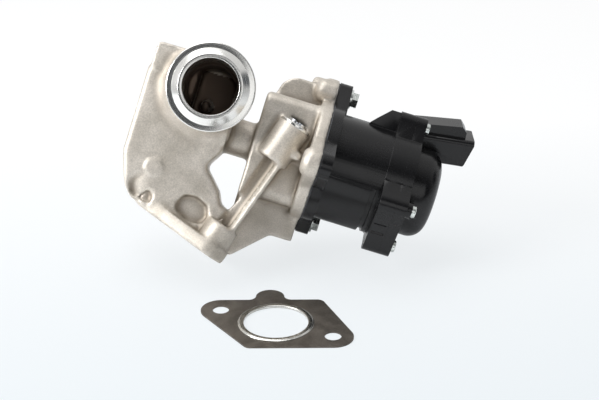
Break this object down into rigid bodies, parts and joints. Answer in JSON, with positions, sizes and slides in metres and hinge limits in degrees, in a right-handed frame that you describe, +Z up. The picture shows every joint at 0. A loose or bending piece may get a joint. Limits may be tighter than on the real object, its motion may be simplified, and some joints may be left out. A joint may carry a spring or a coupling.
{
  "type": "egr valve",
  "caption": "Electric exhaust gas recirculation valve: ribbed cast housing with outlet collar, inlet flange, poppet and stem, black actuator with connector, and a loose flange gasket.",
  "frame": {"origin": "middle of the bottom of the bounding box, on the surface that the valve and its loose gasket lie on", "axes": "+Z up from that surface, +X towards the actuator end of the valve, +Y from the loose gasket towards the valve; the valve lies as on a bench, with its stem dipping towards the actuator and its outlet collar looking up to -Y"},
  "size_m": [0.1944, 0.1464, 0.1262],
  "materials": {
    "cast_aluminium": "die cast, shot blasted, machined at its faces",
    "seat_steel": "ground",
    "stainless_steel": "ground",
    "sintered_bronze": "sintered",
    "seal_ptfe": "moulded",
    "plated_steel": "zinc plated",
    "spring_steel": "drawn wire",
    "gasket_sheet": "coated sheet",
    "moulded_black_plastic": "injection moulded, glass filled",
    "zinc_screw_steel": "zinc plated",
    "magnet_iron": "machined",
    "drawn_brass": "drawn",
    "bobbin_plastic": "injection moulded",
    "copper_wire": "enamelled winding",
    "seal_rubber": "moulded ring",
    "circuit_board": "solder mask",
    "tinned_pins": "tinned",
    "gasket_steel": "coated sheet steel",
    "fire_ring_steel": "rolled bead"
  },
  "bodies": {
    "valve_base": {"valve_housing": "cast_aluminium", "valve_seat_ring": "seat_steel", "stem_bush": "sintered_bronze", "stem_seal": "seal_ptfe", "core_plug": "plated_steel", "bolt_sleeve": "plated_steel", "return_spring": "spring_steel", "joint_gasket": "gasket_sheet", "locating_dowel": "plated_steel", "actuator_housing": "moulded_black_plastic", "lug_sleeves": "plated_steel", "flange_screws": "zinc_screw_steel", "yoke_can": "magnet_iron", "yoke_end_plate": "magnet_iron", "pole_piece": "magnet_iron", "armature_tube": "drawn_brass", "coil_bobbin": "bobbin_plastic", "coil_winding": "copper_wire", "sensor_cover": "moulded_black_plastic", "cover_seal": "seal_rubber", "cover_screws": "zinc_screw_steel", "plunger_spring": "spring_steel", "sensor_board": "circuit_board", "connector_pins": "tinned_pins"},
    "valve_slider": {"valve_poppet": "stainless_steel", "valve_stem": "stainless_steel", "spring_retainer": "plated_steel", "armature": "magnet_iron", "sensor_plunger": "bobbin_plastic"},
    "loose_gasket": {"inlet_gasket": "gasket_steel", "gasket_fire_ring": "fire_ring_steel"}
  },
  "joints": [
    {"name": "valve_stroke", "type": "slide", "parent": "valve_base", "child": "valve_slider", "axis": [-0.9557, 0.087, 0.2811], "range_m": [0, 0.006], "stiffness_N_per_m": 4000, "springref_m": -0.008, "deforming": ["return_spring", "plunger_spring"]},
    {"name": "gasket_lift", "type": "slide", "parent": "valve_base", "child": "loose_gasket", "axis": [0, 0, 1], "range_m": [0, 0.04]}
  ]
}
